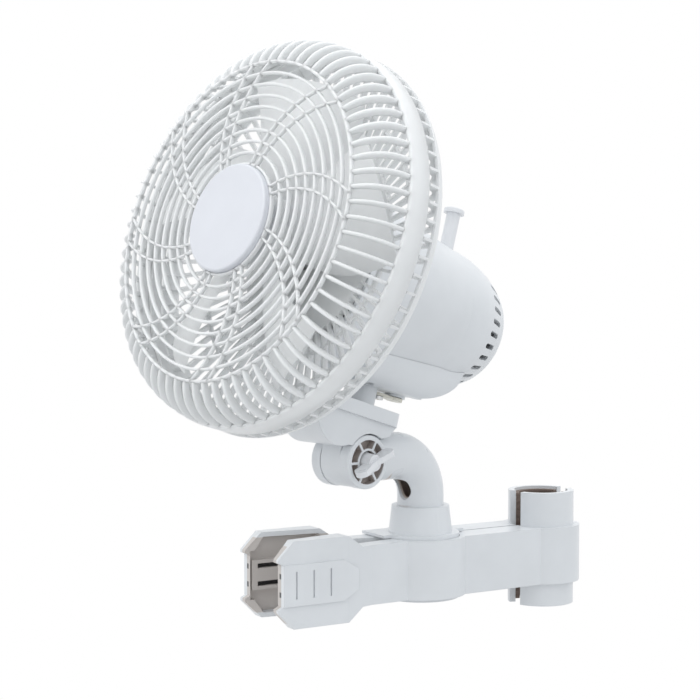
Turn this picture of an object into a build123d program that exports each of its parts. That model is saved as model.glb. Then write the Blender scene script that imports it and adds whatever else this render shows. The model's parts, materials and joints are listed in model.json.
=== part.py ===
"""Oscillating clip fan: a caged six-inch fan head on a swivelling elbow and a spring clamp.

Millimetres. +Z is up and is the axis of the pole that the jaws grip; the origin is on that axis at
the arms' mid-height. +Y runs from the squeeze handles to the jaws, and the fan looks towards -Y.
The model stands as the fan is used: elbow panned, head tilted up against its stop, jaws shut on a pole.
"""

import os
from math import atan2, cos, degrees, pi, radians, sin, sqrt

from build123d import *

os.makedirs("parts", exist_ok=True)

# ---------------------------------------------------------------- driving dimensions: clearances
RUN_FIT = 0.05            # radial running clearance of a shaft in its bore
FREE_GAP = 0.3            # gap between moving neighbours
SEAT_GAP = 0.1            # gap between screwed neighbours
PRESS_GAP = 0.02          # radial gap of a pressed or screwed shank

# ---------------------------------------------------------------- driving dimensions: clamp
pole_r = 11.0             # pole that the jaws hold
pad_thick = 2.4           # rubber lining of a jaw
jaw_wall = 3.0            # moulded shell behind the lining
jaw_top = 31.0            # top of the jaws
jaw_bottom = -25.5        # bottom of the jaws
jaw_half_angle = 75.0     # each jaw covers this much to either side of the X axis
hub_to_pole = 72.8        # pole axis to the arms' pivot axis
arm_half = 14.0           # half height of the arms
arm_wall = 2.6            # moulded wall of the arms
arm_depth = 15.5          # mid plane to an arm's outer face, between hub and jaw
hub_r = 22.0              # outside of the round hub
hub_drop = 1.5            # how far the hub stands below the arms
split_gap = 0.8           # mid plane to an arm's inner edge
handle_angle = 8.4        # each handle leaves the mid plane by this much
grip_from_pole = 161.0    # pole axis to the end of the grips
grip_face = 18.5          # mid plane to a grip's outer face
grip_half = 20.0          # half height of a grip
grip_flat = 29.0          # length of the grip's full-height stretch
grip_corner = 8.0         # cut corner at the end of a grip
grip_skin = 2.2           # wall and rim of a grip
grip_notch = 2.5          # middle of a grip's end edge is set back this much
panel_half = 9.5          # half height of the raised panel on a grip
panel_proud = 0.9
groove_pitch = 9.0        # finger grooves in the panel
groove_wide = 0.8
strip_half = 7.0          # half height of the slotted strip inside a grip
strip_thick = 3.0
boss_wall = 3.4           # hub boss round the spacer tube
boss_split = 4.0          # height where the two arms' bosses meet
sleeve_r = 4.0            # spacer tube on the pivot axis
hub_bolt_r = 2.2          # long screw through the sleeve into the elbow
bolt_head_r = 4.6
bolt_head_high = 2.2
bolt_hold = 4.0           # the bolt's thread in the elbow's foot
foot_thick = 5.0          # floor of the pipe over the collar
spring_wire = 2.0         # torsion spring wire
spring_r = 10.8           # torsion spring mean radius
spring_turns = 3.5
spring_pitch = 2.6
spring_leg = 25.0

# ---------------------------------------------------------------- driving dimensions: elbow
pan_angle = 12.0          # elbow turned in its collar
collar_top_r = 13.9
collar_base_r = 15.4
collar_high = 13.0
plate_thick = 1.4         # raised plate under the collar
plate_reach = 4.0         # how far that plate laps over the moving arm
pipe_r = 11.2
pipe_wall = 2.4
bend_r = 20.0             # centre line of the bend
hinge_reach = 47.0        # collar axis to hinge axis
hinge_high = 54.0         # hinge axis above the arms' mid-height
ear_r = 12.5              # round ears of the hinge
hinge_half = 12.7         # half length of the whole hinge
knuckle_half = 6.3        # half width of the neck's knuckle between the ears
recess_r = 10.2           # sunk face of an ear
recess_deep = 4.2
hinge_bolt_r = 2.5
cable_hole_wide = 8.5
cable_hole_high = 12.5
cable_hole_tilt = 30.0    # where the hole sits round the bend, up from its lower end
seat_r = 5.3              # round seat of the bolt's head and washer in an ear
seat_deep = 3.0
rib_count = 6             # ribs in an ear's sunk face
rib_thick = 1.1
bolt_head_flat = 4.2      # hinge bolt's hexagon head, centre to corner
bolt_head_thick = 2.8
washer_thick = 0.8
wing_angle = 25.0         # the nut's wing rises this much towards the back
wing_reach = 11.5
wing_wide = 7.4
wing_thick = 2.8

# ---------------------------------------------------------------- driving dimensions: neck and head
tilt_angle = 17.0         # head tilted up
neck_high = 85.0          # hinge axis to fan axis
cradle_top = 59.5         # fan axis down to the top of the neck's plate
cradle_plate = 6.4        # thickness of that plate
cradle_half = 15.0        # half width of that plate
cradle_front = 38.0       # plate, ahead of the yaw axis
cradle_rear = 14.5        # plate, behind the yaw axis
cradle_round = 6.0
hull_half = 13.0          # half width of the hull below the plate
yaw_post_r = 5.0
yaw_post_below = 3.4      # post below the plate
yaw_shoulder = 0.9        # step that carries the head on the plate

# distances along the fan axis are measured forwards from the yaw axis
cap_front = 102.0
cap_r = 24.5
cap_proud = 2.5           # cap's face ahead of the rings
front_ring_r = 73.0       # outermost ring of the flat front
ring_wide = 1.3
ring_deep = 2.2
ring_count = 10           # rings from the cap's seat to the outermost ring
spoke_pairs = 8
spoke_wide = 1.1
spoke_deep = 2.0
spoke_proud = 0.15        # spokes stand this much ahead of the rings
spoke_first = 29.5        # angle of the first pair at the cap
spoke_split = 4.5         # half the angle between the two spokes of a pair
spoke_swirl = 26.5        # degrees that a spoke turns from the cap to the outer ring
cage_r = 88.8
band_wall = 2.0
band_front = 80.0
band_rear = 69.0
vane_count = 72           # slats between front ring and band, and behind the band
vane_thick = 1.2
vane_deep = 7.0           # width of a front slat
vane_louvre = 52.0        # front slat turned about its own length, out of the radial plane
cage_back = 56.5          # rear face of the cage
hub_plate_r = 41.0        # solid middle of the rear cage
hub_plate_front = 52.5
hub_plate_thick = 3.0

blade_count = 5
blade_tip_r = 71.0
blade_hub_r = 17.0
blade_hub_front = 86.0
blade_hub_rear = 64.0
shaft_r = 3.0
shaft_front = 93.0

bell_front_r = 41.2       # motor housing at the rear cage
bell_rear_r = 34.3        # where its rounded end starts
bell_flat_r = 15.5        # flat middle of that end
bell_long = 112.3
bell_dome = 38.7          # length of the rounded end
bell_wall = 2.2
bell_drop = 5.0           # fan axis down to the housing's axis, at the cage
bell_droop = 2.0          # and the housing's axis falls this many degrees to the rear
vent_count = 32
vent_long = 8.0
vent_wide = 2.4
vent_at = 16.4            # middle of the vents, from the housing's flat end

stator_r = 26.0
stator_long = 22.0
stator_rear = 10.0        # rear face of the lamination stack
rotor_r = 16.0
air_gap = 0.5
stator_yoke = 4.5
rotor_bars = 17
coil_long = 8.0           # winding ahead of and behind the stack
bracket_thick = 3.0
bracket_stand = 12.0      # end bracket's plate to the stack
motor_screw_r = 1.3
motor_screw_at = 23.9     # motor screws and ears, from the shaft
standoff_r = 2.9          # pillars to the rear cage's middle plate
standoff_at = 23.3
bush_r = 6.0
bush_long = 7.0

spindle_x = 8.0           # clutch spindle beside the motor shaft
spindle_r = 2.0
knob_stem_r = 3.35
knob_head_r = 5.0
knob_top = 45.0           # knob, drawn up, above the fan axis
knob_travel = 8.0
knob_head_thick = 2.4
knob_low = 20.0           # lower end of the knob's stem, drawn up
spindle_top = 28.5
wheel_r = 4.6             # worm wheel
wheel_teeth = 16
wheel_thick = 6.0
worm_pitch = 1.9
worm_turns = 8
pinion_teeth = 8
crank_teeth = 19
gear_module = 0.7
gear_wide = 4.0
bearing_high = 3.3        # gears' underside above the housing's floor
crank_back = 20.0         # crank axis behind the yaw axis
crank_throw = 11.0        # crank axis to crank pin
crank_pin_r = 1.6
crank_journal_r = 2.5
crank_arm_thick = 1.4
link_long = 12.0
link_slot = 3.2           # end play of the link on the neck's pin
gear_box_half = 22.5
gear_box_bottom = 50.3    # fan axis down to the bottom of the gear housing
gear_box_wall = 2.0
gear_box_front = 22.0     # yaw axis to the gear housing's front
gear_box_rear = 40.0      # yaw axis to its back
gear_box_round = 14.0     # its lower edges, in front view
gear_well_half = 12.0     # opening between the motor housing and the gear housing
gear_well_long = 32.0
gear_well_middle = 19.5   # middle of that opening, behind the yaw axis
screw_sunk = 4.8          # seats of the two screws above the gear housing's bottom
grille_screw_r = 1.5
housing_screw_x = 10.0    # the two screws, to either side and ahead of the yaw axis
housing_screw_z = 8.0
housing_post_r = 3.6
tab_level = -22.0         # screws of the gear housing's tab, below the fan axis
tab_screw_x = 5.5

# ---------------------------------------------------------------- frames worked out from the sizes
hub_y = -hub_to_pole
swing = Plane(
    origin=(0, hub_y, 0),
    x_dir=(cos(radians(pan_angle)), sin(radians(pan_angle)), 0),
    z_dir=(0, 0, 1),
)
hinge_point = swing.from_local_coords(Vector(0, -hinge_reach, hinge_high))
# looking along the hinge: local x runs backwards, local y up, local z along the hinge axis
hinge = Plane(origin=hinge_point, x_dir=swing.y_dir, z_dir=swing.x_dir)
forward = swing.y_dir * -cos(radians(tilt_angle)) + swing.z_dir * sin(radians(tilt_angle))
head_up = swing.y_dir * sin(radians(tilt_angle)) + swing.z_dir * cos(radians(tilt_angle))
# fan frame: local z forwards along the fan axis, local y up, origin where the yaw axis crosses
head = Plane(origin=hinge_point + head_up * neck_high, x_dir=swing.x_dir, z_dir=forward)
# side view of the head: local x forwards, local y up
side = Plane(origin=head.origin, x_dir=head.z_dir, z_dir=head.x_dir * -1)
# plan of the head: local x across, local y backwards, local z up
plan = Plane(origin=head.origin, x_dir=head.x_dir, z_dir=head.y_dir)
fan_axis = Axis(head.origin, head.z_dir)
# clutch spindle stands where its pinion meets the crank gear
gear_spread = gear_module * (pinion_teeth + crank_teeth) / 2
spindle_back = crank_back + sqrt(gear_spread**2 - spindle_x**2)
spindle = plan.from_local_coords(Vector(spindle_x, spindle_back, 0))
spindle_plane = Plane(origin=spindle, x_dir=head.x_dir, z_dir=head.y_dir)


def around(radius, angle):
    """Point on a circle, angle in degrees."""
    return (radius * cos(radians(angle)), radius * sin(radians(angle)))


def cylinder(plane, radius, low, high, at=(0, 0), mode=Mode.ADD):
    """Round bar or bore along a plane's normal, in the open part."""
    with BuildSketch(plane.offset(low)) as disc:
        with Locations(at):
            Circle(radius)
    extrude(disc.sketch, amount=high - low, mode=mode)


def finish(piece, name):
    """Label a finished piece and write its file."""
    piece.part.label = name
    export_step(piece.part, f"parts/{name}.step")


# ================================================================ clamp arms
jaw_inner_r = pole_r + pad_thick
jaw_outer_r = jaw_inner_r + jaw_wall
disc_r = hub_r - arm_wall - 2 * FREE_GAP   # hub disc that turns inside the other arm's round wall
boss_r = sleeve_r + RUN_FIT + boss_wall
plate_low = arm_half + FREE_GAP
collar_floor = plate_low + plate_thick
hub_floor = -arm_half - hub_drop
pivot = Plane(origin=(0, hub_y, 0))
grip_end = -grip_from_pole
grip_middle = (grip_end + grip_end + grip_corner + grip_flat) / 2
grip_start = grip_end + grip_corner + grip_flat
neck_start = grip_start + 9.0
handle_slope = sin(radians(handle_angle)) / cos(radians(handle_angle))


def inner_edge(y):
    """How far an arm's inner edge lies from the mid plane at y: handles spread from the hub."""
    return split_gap + max(0.0, (hub_y - y) * handle_slope)


def arm_plan(sign):
    """Plan outline of one arm, from the grip to the jaw, on the side of the given sign."""
    with BuildSketch() as outline:
        with BuildLine():
            Polyline(
                (sign * split_gap, hub_y),
                (sign * inner_edge(grip_end), grip_end),
                (sign * grip_face, grip_end),
                (sign * grip_face, grip_start),
                (sign * (arm_depth - 1.0), neck_start + 6.0),
                (sign * (arm_depth - 1.0), hub_y),
                (sign * arm_depth, hub_y),
                (sign * arm_depth, 0),
                (sign * split_gap, 0),
                close=True,
            )
        make_face()
        with Locations((0, hub_y)):
            Circle(hub_r)
        with BuildLine():
            Polyline(
                (sign * split_gap, 0),
                (sign * split_gap, hub_y),
                (sign * inner_edge(grip_end), grip_end),
                (sign * -60, grip_end - 10),
                (sign * -60, 0),
                close=True,
            )
        make_face(mode=Mode.SUBTRACT)
        Circle(jaw_inner_r + jaw_wall / 2, mode=Mode.SUBTRACT)
    return outline.sketch


def arm_side():
    """Side outline of an arm: tall octagonal grip, then a level bar to the jaw."""
    with BuildSketch(Plane.YZ) as outline:
        with BuildLine():
            Polyline(
                (grip_end + grip_notch, panel_half),
                (grip_end, panel_half + 1.2),
                (grip_end, grip_half - grip_corner),
                (grip_end + grip_corner, grip_half),
                (grip_start, grip_half),
                (neck_start, arm_half),
                (hub_to_pole, arm_half),
                (hub_to_pole, -arm_half),
                (neck_start, -arm_half),
                (grip_start, -grip_half),
                (grip_end + grip_corner, -grip_half),
                (grip_end, -grip_half + grip_corner),
                (grip_end, -panel_half - 1.2),
                (grip_end + grip_notch, -panel_half),
                close=True,
            )
        make_face()
    return outline.sketch


def jaw_arc(sign, r_in, r_out, half_angle):
    """Sector of a ring about the pole axis, facing the given side."""
    with BuildSketch() as sector:
        Circle(r_out)
        Circle(r_in, mode=Mode.SUBTRACT)
        with BuildLine():
            Polyline(
                (0, 0),
                (sign * 2 * r_out * cos(radians(half_angle)), 2 * r_out * sin(radians(half_angle))),
                (sign * 4 * r_out, 0),
                (sign * 2 * r_out * cos(radians(half_angle)), -2 * r_out * sin(radians(half_angle))),
                close=True,
            )
        make_face(mode=Mode.INTERSECT)
    return sector.sketch


def pocket_plan(sign):
    """Hollow of an arm, open towards the mid plane."""
    with BuildSketch() as outline:
        with BuildLine():
            Polyline(
                (sign * (split_gap - 1), hub_y),
                (sign * (inner_edge(grip_end) - 1), grip_end + arm_wall),
                (sign * (grip_face - 2.2), grip_end + arm_wall),
                (sign * (grip_face - 2.2), grip_start),
                (sign * (arm_depth - 1.0 - arm_wall), neck_start + 6.0),
                (sign * (arm_depth - arm_wall), hub_y),
                (sign * (arm_depth - arm_wall), -jaw_outer_r - 4),
                (sign * (split_gap - 1), -jaw_outer_r - 4),
                close=True,
            )
        make_face()
        with Locations((0, hub_y)):
            Circle(hub_r - arm_wall)
        with BuildLine():
            Polyline(
                (sign * (split_gap - 1), 0),
                (sign * (split_gap - 1), hub_y),
                (sign * (inner_edge(grip_end) - 1), grip_end),
                (sign * -60, grip_end - 10),
                (sign * -60, 0),
                close=True,
            )
        make_face(mode=Mode.SUBTRACT)
    return outline.sketch


def build_arm(sign):
    """One hollow clamp arm without its hub boss."""
    grip_floor = Plane.YZ.offset(sign * (grip_face - grip_skin))
    with BuildPart() as arm:
        with BuildSketch(Plane.XY.offset(-grip_half)):
            add(arm_plan(sign))
        extrude(amount=2 * grip_half)
        add(extrude(arm_side(), amount=4 * grip_face, both=True, mode=Mode.PRIVATE), mode=Mode.INTERSECT)
        with BuildSketch(Plane.XY.offset(-arm_half + arm_wall)):
            add(pocket_plan(sign))
        extrude(amount=2 * (arm_half - arm_wall), mode=Mode.SUBTRACT)
        # the grip is hollow over its whole height, leaving a rim
        with BuildSketch(grip_floor):
            with BuildLine():
                Polyline(
                    (grip_end + grip_notch + grip_skin, grip_half - grip_corner - 0.6),
                    (grip_end + grip_corner + 1.0, grip_half - grip_skin),
                    (grip_start - 1.0, grip_half - grip_skin),
                    (neck_start - 1.5, arm_half - arm_wall),
                    (neck_start - 1.5, -arm_half + arm_wall),
                    (grip_start - 1.0, -grip_half + grip_skin),
                    (grip_end + grip_corner + 1.0, -grip_half + grip_skin),
                    (grip_end + grip_notch + grip_skin, -grip_half + grip_corner + 0.6),
                    close=True,
                )
            make_face()
        extrude(amount=-sign * 2 * grip_face, mode=Mode.SUBTRACT)
        # central strip with two long slots, seen between the handles
        with BuildSketch(grip_floor):
            with Locations((grip_middle + 2.0, 0)):
                Rectangle(grip_flat + grip_corner - 3.0, 2 * strip_half)
            with Locations((grip_middle + 2.4, strip_half * 0.6), (grip_middle + 2.4, -strip_half * 0.6)):
                Rectangle(grip_flat, 2.2, mode=Mode.SUBTRACT)
        extrude(amount=-sign * strip_thick)
        # raised pointed panel on the outside, with finger grooves
        with BuildSketch(Plane.YZ.offset(sign * grip_face)):
            with BuildLine():
                Polyline(
                    (grip_end + grip_notch, panel_half),
                    (grip_start - 3.0, panel_half),
                    (grip_start + 5.0, panel_half / 2),
                    (grip_start + 5.0, -panel_half / 2),
                    (grip_start - 3.0, -panel_half),
                    (grip_end + grip_notch, -panel_half),
                    close=True,
                )
            make_face()
            with Locations(*[(grip_end + groove_pitch * (i + 1), 0) for i in range(3)]):
                Rectangle(groove_wide, 2 * panel_half - 6.5, mode=Mode.SUBTRACT)
        extrude(amount=sign * panel_proud)
        # jaw shell, and the arm's bar that wraps it
        with BuildSketch(Plane.XY.offset(jaw_bottom)):
            add(jaw_arc(sign, jaw_inner_r, jaw_outer_r, jaw_half_angle))
        extrude(amount=jaw_top - jaw_bottom)
        with BuildSketch(Plane.XY.offset(-arm_half)):
            add(jaw_arc(sign, jaw_inner_r + 0.2, jaw_outer_r + jaw_wall, jaw_half_angle))
        extrude(amount=2 * arm_half)
    return arm.part


# base arm: carries the upper hub disc, the raised plate and the collar of the elbow
with BuildPart() as clip_base_arm:
    add(build_arm(-1))
    cylinder(pivot, disc_r + FREE_GAP, -arm_half - 1.0, -arm_half + arm_wall + FREE_GAP, mode=Mode.SUBTRACT)
    cylinder(pivot, disc_r, arm_half - arm_wall, plate_low)
    cylinder(pivot, boss_r, boss_split, arm_half)
    # the plate lies on its own arm and laps over the moving one with a small gap
    with BuildSketch(pivot.offset(arm_half)):
        with Locations((-arm_depth / 2 - split_gap, 0)):
            Rectangle(arm_depth, 2 * hub_r)
    extrude(amount=FREE_GAP)
    with BuildSketch(pivot.offset(plate_low)):
        with Locations(((plate_reach - arm_depth) / 2 - split_gap, 0)):
            Rectangle(arm_depth + plate_reach, 2 * hub_r + 2.0)
        Circle(disc_r)
    extrude(amount=plate_thick)
    with BuildSketch(pivot.offset(collar_floor)):
        Circle(collar_base_r)
    with BuildSketch(pivot.offset(collar_floor + collar_high)):
        Circle(collar_top_r)
    loft()
    cylinder(pivot, pipe_r + RUN_FIT, collar_floor, collar_floor + 2 * collar_high, mode=Mode.SUBTRACT)
    cylinder(pivot, sleeve_r + RUN_FIT, boss_split - 1.0, arm_half, mode=Mode.SUBTRACT)
    cylinder(pivot, hub_bolt_r + RUN_FIT, arm_half - 1.0, collar_floor + 1.0, mode=Mode.SUBTRACT)
finish(clip_base_arm, "clip_base_arm")

# moving arm: carries the lower hub disc, which turns inside the base arm
with BuildPart() as clip_moving_arm:
    add(build_arm(1))
    cylinder(pivot, disc_r + FREE_GAP, arm_half - arm_wall - FREE_GAP, arm_half + 1.0, mode=Mode.SUBTRACT)
    cylinder(pivot, disc_r, hub_floor, -arm_half + arm_wall)
    cylinder(pivot, boss_r, -arm_half, boss_split - FREE_GAP)
    cylinder(pivot, sleeve_r + RUN_FIT, -arm_half + arm_wall, boss_split + 1.0, mode=Mode.SUBTRACT)
    cylinder(pivot, hub_bolt_r + RUN_FIT, hub_floor - 1.0, -arm_half + arm_wall + 1.0, mode=Mode.SUBTRACT)
    cylinder(pivot, bolt_head_r + FREE_GAP, hub_floor - 1.0, hub_floor + bolt_head_high, mode=Mode.SUBTRACT)
finish(clip_moving_arm, "clip_moving_arm")

for sign, name in ((-1, "base_jaw_pad"), (1, "moving_jaw_pad")):
    with BuildPart() as pad:
        with BuildSketch(Plane.XY.offset(jaw_bottom + 1.5)):
            add(jaw_arc(sign, pole_r, jaw_inner_r, jaw_half_angle - 2))
        extrude(amount=jaw_top - jaw_bottom - 3.0)
    finish(pad, name)

with BuildPart() as pivot_sleeve:
    cylinder(pivot, sleeve_r, -arm_half + arm_wall + SEAT_GAP, arm_half - SEAT_GAP)
    cylinder(pivot, hub_bolt_r + RUN_FIT, -arm_half, arm_half, mode=Mode.SUBTRACT)
finish(pivot_sleeve, "pivot_sleeve")

# ---------------------------------------------------------------- torsion spring
spring_slope = atan2(spring_pitch, 2 * pi * spring_r)
spring_low = -arm_half + arm_wall + spring_wire / 2 + FREE_GAP + spring_leg * sin(spring_slope)


def spring_point(turn):
    """Point on the spring's centre line, counted in turns from the moving arm's leg."""
    return Vector(
        spring_r * cos(2 * pi * turn),
        hub_y + spring_r * sin(2 * pi * turn),
        spring_low + spring_pitch * turn,
    )


def spring_heading(turn):
    """Direction of the centre line at that point."""
    return Vector(
        -sin(2 * pi * turn) * cos(spring_slope),
        cos(2 * pi * turn) * cos(spring_slope),
        sin(spring_slope),
    )


def add_biarc(start, start_way, end, end_way):
    """Two tangent arcs from one point and heading to the next."""
    across = end - start
    ways = start_way + end_way
    spread = 2 * (1 - start_way.dot(end_way))
    reach = (sqrt(across.dot(ways) ** 2 + spread * across.dot(across)) - across.dot(ways)) / spread
    middle = (start + start_way * reach + end - end_way * reach) * 0.5
    first = TangentArc(start, middle, tangent=start_way)
    TangentArc(middle, end, tangent=first % 1)


with BuildPart() as torsion_spring:
    with BuildLine() as spring_path:
        Line(spring_point(0) - spring_heading(0) * spring_leg, spring_point(0))
        for k in range(int(4 * spring_turns)):
            add_biarc(
                spring_point(k / 4), spring_heading(k / 4),
                spring_point((k + 1) / 4), spring_heading((k + 1) / 4),
            )
        last = spring_point(spring_turns)
        Line(last, last + spring_heading(spring_turns) * spring_leg)
    with BuildSketch(Plane(origin=spring_path.line @ 0, z_dir=spring_path.line % 0)):
        Circle(spring_wire / 2)
    sweep()
finish(torsion_spring, "torsion_spring")
samples = [spring_point(k / 40) for k in range(int(40 * spring_turns) + 1)]
self_gap = min(
    (samples[i] - samples[j]).length for i in range(len(samples)) for j in range(i + 20, len(samples))
) - spring_wire
print(f"torsion spring: least gap between turns {self_gap:.2f} mm")

# ================================================================ elbow
foot_bottom = collar_floor + SEAT_GAP
knuckle_r = ear_r - FREE_GAP
slot_r = ear_r + 2 * FREE_GAP
slot_half = knuckle_half + FREE_GAP


def swing_point(back, up):
    """Point in the elbow's middle plane, so far behind the collar axis and so high."""
    return swing.from_local_coords(Vector(0, back, up))


pipe_corner = [
    swing_point(0, foot_bottom),
    swing_point(0, hinge_high),
    swing_point(-hinge_reach, hinge_high),
]
foot = Plane(origin=pipe_corner[0], x_dir=swing.x_dir, z_dir=(0, 0, 1))
bore_corner = [
    pipe_corner[0] + Vector(0, 0, foot_thick),
    pipe_corner[1],
    swing_point(-hinge_reach + ear_r + 3.0, hinge_high),
]
with BuildPart() as elbow_tube:
    with BuildLine():
        FilletPolyline(*pipe_corner, radius=bend_r)
    with BuildSketch(foot):
        Circle(pipe_r)
    sweep()
    # two round ears across the end of the pipe
    with BuildSketch(hinge.offset(-hinge_half)):
        Circle(ear_r)
    extrude(amount=2 * hinge_half)
    fillet(elbow_tube.edges().filter_by(GeomType.CIRCLE).group_by(Axis(hinge.origin, hinge.z_dir))[0], 1.0)
    fillet(elbow_tube.edges().filter_by(GeomType.CIRCLE).group_by(Axis(hinge.origin, hinge.z_dir))[-1], 1.0)
    # slot for the knuckle, and the room its leg needs when the head tips back
    with BuildSketch(hinge.offset(-slot_half)):
        Circle(slot_r)
        with Locations((slot_r / 2 + 1.5, slot_r / 2 + 1.0)):
            Rectangle(slot_r + 3.0, slot_r + 2.0)
    extrude(amount=2 * slot_half, mode=Mode.SUBTRACT)
    # bore of the pipe, for the lead
    with BuildLine():
        FilletPolyline(*bore_corner, radius=bend_r)
    with BuildSketch(foot.offset(foot_thick)):
        Circle(pipe_r - pipe_wall)
    sweep(mode=Mode.SUBTRACT)
    # oval hole for the lead on the inside of the bend
    bend_centre = swing_point(-bend_r, hinge_high - bend_r)
    bend_out = swing.y_dir * cos(radians(cable_hole_tilt)) + swing.z_dir * sin(radians(cable_hole_tilt))
    with BuildSketch(Plane(origin=bend_centre + bend_out * bend_r, x_dir=swing.x_dir, z_dir=bend_out * -1)):
        SlotCenterToCenter(cable_hole_high - cable_hole_wide, cable_hole_wide, rotation=90)
    extrude(amount=pipe_r + pipe_wall, mode=Mode.SUBTRACT)
    # sunk, ribbed faces of both ears round a bolt boss
    for face_side in (-1, 1):
        ear_face = hinge.offset(face_side * hinge_half)
        with BuildSketch(ear_face):
            Circle(recess_r)
            Circle(seat_r + 1.0, mode=Mode.SUBTRACT)
            with PolarLocations((recess_r + seat_r) / 2, rib_count):
                Rectangle(recess_r - seat_r, rib_thick, mode=Mode.SUBTRACT)
        extrude(amount=-face_side * recess_deep, mode=Mode.SUBTRACT)
        with BuildSketch(ear_face):
            Circle(seat_r)
        extrude(amount=-face_side * seat_deep, mode=Mode.SUBTRACT)
    cylinder(hinge, hinge_bolt_r + RUN_FIT, -hinge_half, hinge_half, mode=Mode.SUBTRACT)
    # blind hole for the long hub bolt
    cylinder(foot, hub_bolt_r + PRESS_GAP, -1.0, bolt_hold, mode=Mode.SUBTRACT)
finish(elbow_tube, "elbow_tube")

with BuildPart() as hub_bolt:
    cylinder(pivot, bolt_head_r, hub_floor, hub_floor + bolt_head_high - SEAT_GAP)
    with BuildSketch(pivot.offset(hub_floor)):
        RegularPolygon(1.8, 6)
    extrude(amount=1.2, mode=Mode.SUBTRACT)
    cylinder(pivot, hub_bolt_r, hub_floor + 1.3, foot_bottom + bolt_hold - SEAT_GAP)
finish(hub_bolt, "hub_bolt")

# ---------------------------------------------------------------- hinge bolt, washer and wing nut
bolt_seat = hinge_half - seat_deep         # floor of the ears' round seats
wing_start = bolt_seat + washer_thick + SEAT_GAP
wing_high = hinge_half + 0.8               # the wing clears the ear's rim
with BuildPart() as hinge_bolt:
    with BuildSketch(hinge.offset(-bolt_seat - bolt_head_thick)):
        RegularPolygon(bolt_head_flat, 6)
    extrude(amount=bolt_head_thick - SEAT_GAP)
    cylinder(hinge, hinge_bolt_r, -bolt_seat - 1.0, wing_high + 3.0)
finish(hinge_bolt, "hinge_bolt")

with BuildPart() as hinge_washer:
    cylinder(hinge, seat_r - FREE_GAP, bolt_seat, bolt_seat + washer_thick)
    cylinder(hinge, hinge_bolt_r + RUN_FIT, bolt_seat, bolt_seat + washer_thick, mode=Mode.SUBTRACT)
finish(hinge_washer, "hinge_washer")

with BuildPart() as wing_nut:
    with BuildSketch(hinge.offset(wing_start)):
        Circle(seat_r - 0.9)
    with BuildSketch(hinge.offset(wing_high + 4.0)):
        Circle(seat_r - 1.5)
    loft()
    wing_way = hinge.x_dir * cos(radians(wing_angle)) + hinge.y_dir * sin(radians(wing_angle))
    with BuildSketch(Plane(origin=hinge.origin, x_dir=wing_way, z_dir=wing_way.cross(hinge.z_dir))):
        with BuildLine():
            Line((0, wing_high), (wing_reach - 2.0, wing_high))
            ThreePointArc(
                (wing_reach - 2.0, wing_high),
                (wing_reach, wing_high + wing_wide / 2),
                (wing_reach - 2.5, wing_high + wing_wide),
            )
            Line((wing_reach - 2.5, wing_high + wing_wide), (0, wing_high + wing_wide - 2.2))
            Line((0, wing_high + wing_wide - 2.2), (0, wing_high))
        make_face()
        mirror(about=Plane.YZ)
    extrude(amount=wing_thick / 2, both=True)
    cylinder(hinge, hinge_bolt_r + RUN_FIT, bolt_seat, wing_high + 3.4, mode=Mode.SUBTRACT)
finish(wing_nut, "wing_nut")

# ================================================================ neck
plate_floor = -cradle_top - cradle_plate
screw_level = plate_floor + cradle_plate / 2
pin_back = crank_back - crank_throw        # crank pin and link, behind the yaw axis
with BuildPart() as neck_bracket:
    # plate under the head
    with BuildSketch(plan.offset(plate_floor)):
        with Locations((0, (cradle_rear - cradle_front) / 2)):
            RectangleRounded(2 * cradle_half, cradle_front + cradle_rear, cradle_round)
    extrude(amount=cradle_plate)
    # hull below the plate
    with BuildSketch(side):
        with BuildLine():
            Line((-cradle_rear + 2.0, plate_floor), (-cradle_rear + 5.0, plate_floor - 5.0))
            Line((-cradle_rear + 5.0, plate_floor - 5.0), (-cradle_rear + 10.0, plate_floor - 7.2))
            Line((-cradle_rear + 10.0, plate_floor - 7.2), (0, -neck_high + 6.5))
            Line((0, -neck_high + 6.5), (ear_r + 2.0, -neck_high + 5.0))
            ThreePointArc(
                (ear_r + 2.0, -neck_high + 5.0),
                (cradle_front - 6.0, plate_floor - 12.0),
                (cradle_front - 1.0, plate_floor),
            )
            Line((cradle_front - 1.0, plate_floor), (-cradle_rear + 2.0, plate_floor))
        make_face()
    extrude(amount=hull_half, both=True)
    # hollow round the ears
    cylinder(hinge, ear_r + 2 * FREE_GAP, -cradle_half, cradle_half, mode=Mode.SUBTRACT)
    # leg and knuckle between the ears
    cylinder(hinge, knuckle_r, -knuckle_half, knuckle_half)
    with BuildSketch(side):
        with BuildLine():
            Polyline(
                (-8.0, plate_floor - 3.0),
                (-8.0, -neck_high + 9.0),
                (0, -neck_high),
                (knuckle_r, -neck_high),
                (knuckle_r + 1.0, plate_floor - 3.0),
                close=True,
            )
        make_face()
    extrude(amount=knuckle_half, both=True)
    cylinder(hinge, hinge_bolt_r + RUN_FIT, -hinge_half, hinge_half, mode=Mode.SUBTRACT)
    # seats of the yaw post, its set screw and the link's pin
    post_bore_floor = plate_floor - yaw_post_below - 0.6
    cylinder(plan, yaw_post_r + RUN_FIT, post_bore_floor, -cradle_top, mode=Mode.SUBTRACT)
    cylinder(head, 1.5 + PRESS_GAP, -cradle_rear - 1.0, 0, at=(0, screw_level), mode=Mode.SUBTRACT)
    cylinder(
        plan, crank_pin_r + PRESS_GAP, -cradle_top - 4.0, -cradle_top,
        at=(-link_long, pin_back), mode=Mode.SUBTRACT,
    )
finish(neck_bracket, "neck_bracket")

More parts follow.
